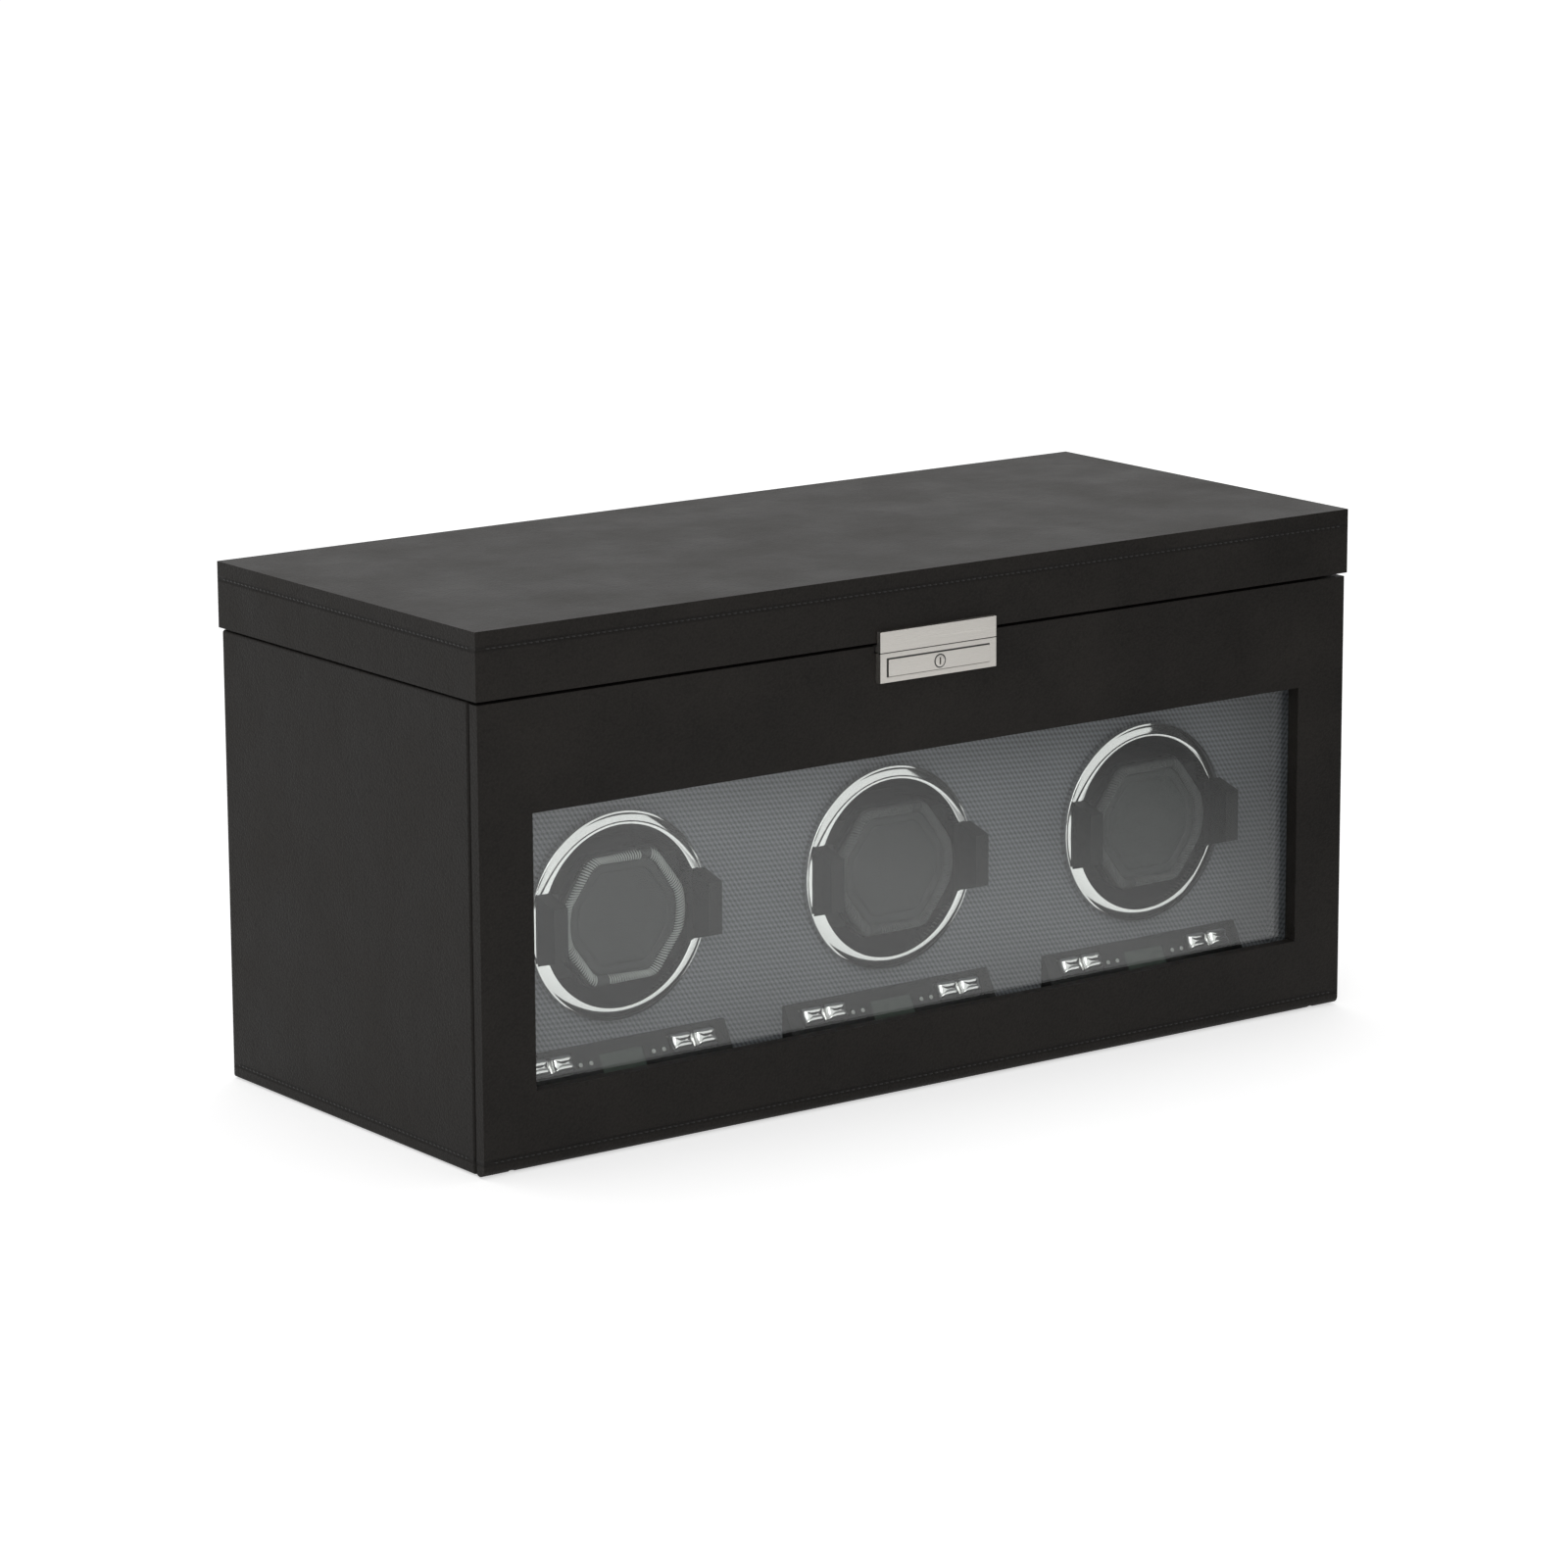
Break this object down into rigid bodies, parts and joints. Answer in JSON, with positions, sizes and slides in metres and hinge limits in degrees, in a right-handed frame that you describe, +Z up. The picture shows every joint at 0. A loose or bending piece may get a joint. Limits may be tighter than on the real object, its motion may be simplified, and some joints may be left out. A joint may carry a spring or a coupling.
{
  "type": "watch winder box",
  "caption": "Leather-wrapped box with a drop-down glazed door, motor-driven winding drums with padded watch cuffs, and a storage tray under a hinged lid.",
  "frame": {"origin": "middle of the box's plan, on the underside of the felt, where the box stands", "axes": "+X along the box's width, to the right seen from the front; -Y out of the glazed door; +Z up"},
  "size_m": [0.42, 0.1876, 0.206],
  "materials": {
    "black_leather": "black grained leather wrapped over boards",
    "grey_cloth": "grey cloth with a fine diagonal weave",
    "suede": "dark grey brushed suede",
    "felt": "black felt",
    "motor_steel": "plain zinc-plated steel",
    "brass": "turned brass",
    "smoke_plastic": "smoky gloss plastic",
    "display": "grey-green liquid crystal display",
    "circuit_board": "green circuit board",
    "black_plastic": "black moulded plastic",
    "nickel": "brushed nickel plate",
    "pin_steel": "ground steel",
    "glass": "clear float glass",
    "drum_plastic": "dark grey satin plastic",
    "chrome": "bright chrome plate",
    "nylon": "natural nylon",
    "pad_leather": "dark grey leather over foam"
  },
  "bodies": {
    "case": {"base_board": "black_leather", "left_side": "black_leather", "right_side": "black_leather", "back_board": "black_leather", "front_rail": "black_leather", "storage_deck": "suede", "storage_tray": "suede", "compartment_liner": "grey_cloth", "winder_fascia": "grey_cloth", "base_felt": "felt", "drive_plate": "motor_steel", "drum_bushes": "brass", "gear_motors": "motor_steel", "control_panels": "smoke_plastic", "lcd_windows": "display", "circuit_boards": "circuit_board", "power_board": "circuit_board", "dc_jack": "black_plastic", "door_brackets": "motor_steel", "case_hinge_leaves": "nickel", "hinge_pins": "pin_steel", "case_screws": "nickel"},
    "door": {"door_panel": "black_leather", "door_glass": "glass", "glass_retainer": "black_leather", "lock_plate": "nickel", "door_pins": "pin_steel"},
    "lock_button": {"lock_button": "nickel"},
    "lock_cylinder": {"lock_cylinder": "nickel"},
    "lid": {"lid_shell": "black_leather", "lid_lining": "suede", "hasp_plate": "nickel", "lid_hinge_leaves": "nickel", "lid_screws": "nickel"},
    "drum_1": {"drum_1": "drum_plastic", "bezel_1": "chrome"},
    "pinion_1": {"pinion_1": "nylon"},
    "cuff_1": {"cuff_frame_1": "drum_plastic", "cuff_pad_1": "pad_leather"},
    "drum_2": {"drum_2": "drum_plastic", "bezel_2": "chrome"},
    "pinion_2": {"pinion_2": "nylon"},
    "cuff_2": {"cuff_frame_2": "drum_plastic", "cuff_pad_2": "pad_leather"},
    "drum_3": {"drum_3": "drum_plastic", "bezel_3": "chrome"},
    "pinion_3": {"pinion_3": "nylon"},
    "cuff_3": {"cuff_frame_3": "drum_plastic", "cuff_pad_3": "pad_leather"},
    "rocker_1_left": {"rocker_1_left": "chrome"},
    "rocker_1_right": {"rocker_1_right": "chrome"},
    "rocker_2_left": {"rocker_2_left": "chrome"},
    "rocker_2_right": {"rocker_2_right": "chrome"},
    "rocker_3_left": {"rocker_3_left": "chrome"},
    "rocker_3_right": {"rocker_3_right": "chrome"},
    "pillow_1": {"pillow_1": "suede"},
    "pillow_2": {"pillow_2": "suede"},
    "pillow_3": {"pillow_3": "suede"},
    "pillow_4": {"pillow_4": "suede"},
    "pillow_5": {"pillow_5": "suede"}
  },
  "joints": [
    {"name": "door_swing", "type": "hinge", "parent": "case", "child": "door", "pos_m": [0, -0.0862, 0.0037], "axis": [1, 0, 0], "range_deg": [0, 88]},
    {"name": "lid_swing", "type": "hinge", "parent": "case", "child": "lid", "pos_m": [0, 0.0923, 0.1796], "axis": [-1, 0, 0], "range_deg": [0, 95]},
    {"name": "lock_push", "type": "slide", "parent": "door", "child": "lock_button", "axis": [0, 1, 0], "range_m": [0, 0.0012], "stiffness_N_per_m": 600, "springref_m": -0.0015},
    {"name": "lock_turn", "type": "hinge", "parent": "lock_button", "child": "lock_cylinder", "pos_m": [0, -0.091, 0.1702], "axis": [0, -1, 0], "range_deg": [0, 90]},
    {"name": "drum_1_turn", "type": "hinge", "parent": "case", "child": "drum_1", "pos_m": [-0.1285, 0, 0.083], "axis": [0, -1, 0], "continuous": true},
    {"name": "pinion_1_turn", "type": "hinge", "parent": "case", "child": "pinion_1", "pos_m": [-0.1285, 0, 0.047], "axis": [0, -1, 0], "continuous": true},
    {"name": "cuff_1_pull", "type": "slide", "parent": "drum_1", "child": "cuff_1", "axis": [0, -1, 0], "range_m": [0, 0.006]},
    {"name": "drum_2_turn", "type": "hinge", "parent": "case", "child": "drum_2", "pos_m": [0, 0, 0.083], "axis": [0, -1, 0], "continuous": true},
    {"name": "pinion_2_turn", "type": "hinge", "parent": "case", "child": "pinion_2", "pos_m": [0, 0, 0.047], "axis": [0, -1, 0], "continuous": true},
    {"name": "cuff_2_pull", "type": "slide", "parent": "drum_2", "child": "cuff_2", "axis": [0, -1, 0], "range_m": [0, 0.006]},
    {"name": "drum_3_turn", "type": "hinge", "parent": "case", "child": "drum_3", "pos_m": [0.1285, 0, 0.083], "axis": [0, -1, 0], "continuous": true},
    {"name": "pinion_3_turn", "type": "hinge", "parent": "case", "child": "pinion_3", "pos_m": [0.1285, 0, 0.047], "axis": [0, -1, 0], "continuous": true},
    {"name": "cuff_3_pull", "type": "slide", "parent": "drum_3", "child": "cuff_3", "axis": [0, -1, 0], "range_m": [0, 0.006]},
    {"name": "rocker_1_left_tip", "type": "hinge", "parent": "case", "child": "rocker_1_left", "pos_m": [-0.1615, -0.05826, 0.0277], "axis": [0, 0.4783, 0.8782], "range_deg": [-4, 4], "stiffness_Nm_per_rad": 0.08},
    {"name": "rocker_1_right_tip", "type": "hinge", "parent": "case", "child": "rocker_1_right", "pos_m": [-0.0955, -0.05826, 0.0277], "axis": [0, 0.4783, 0.8782], "range_deg": [-4, 4], "stiffness_Nm_per_rad": 0.08},
    {"name": "rocker_2_left_tip", "type": "hinge", "parent": "case", "child": "rocker_2_left", "pos_m": [-0.033, -0.05826, 0.0277], "axis": [0, 0.4783, 0.8782], "range_deg": [-4, 4], "stiffness_Nm_per_rad": 0.08},
    {"name": "rocker_2_right_tip", "type": "hinge", "parent": "case", "child": "rocker_2_right", "pos_m": [0.033, -0.05826, 0.0277], "axis": [0, 0.4783, 0.8782], "range_deg": [-4, 4], "stiffness_Nm_per_rad": 0.08},
    {"name": "rocker_3_left_tip", "type": "hinge", "parent": "case", "child": "rocker_3_left", "pos_m": [0.0955, -0.05826, 0.0277], "axis": [0, 0.4783, 0.8782], "range_deg": [-4, 4], "stiffness_Nm_per_rad": 0.08},
    {"name": "rocker_3_right_tip", "type": "hinge", "parent": "case", "child": "rocker_3_right", "pos_m": [0.1615, -0.05826, 0.0277], "axis": [0, 0.4783, 0.8782], "range_deg": [-4, 4], "stiffness_Nm_per_rad": 0.08},
    {"name": "pillow_1_lift", "type": "slide", "parent": "case", "child": "pillow_1", "axis": [0, 0, 1], "range_m": [0, 0.008]},
    {"name": "pillow_2_lift", "type": "slide", "parent": "case", "child": "pillow_2", "axis": [0, 0, 1], "range_m": [0, 0.008]},
    {"name": "pillow_3_lift", "type": "slide", "parent": "case", "child": "pillow_3", "axis": [0, 0, 1], "range_m": [0, 0.008]},
    {"name": "pillow_4_lift", "type": "slide", "parent": "case", "child": "pillow_4", "axis": [0, 0, 1], "range_m": [0, 0.008]},
    {"name": "pillow_5_lift", "type": "slide", "parent": "case", "child": "pillow_5", "axis": [0, 0, 1], "range_m": [0, 0.008]}
  ],
  "couplings": [
    {"joint": "pinion_1_turn", "follows": "drum_1_turn", "ratio": -5},
    {"joint": "pinion_2_turn", "follows": "drum_2_turn", "ratio": -5},
    {"joint": "pinion_3_turn", "follows": "drum_3_turn", "ratio": -5}
  ]
}
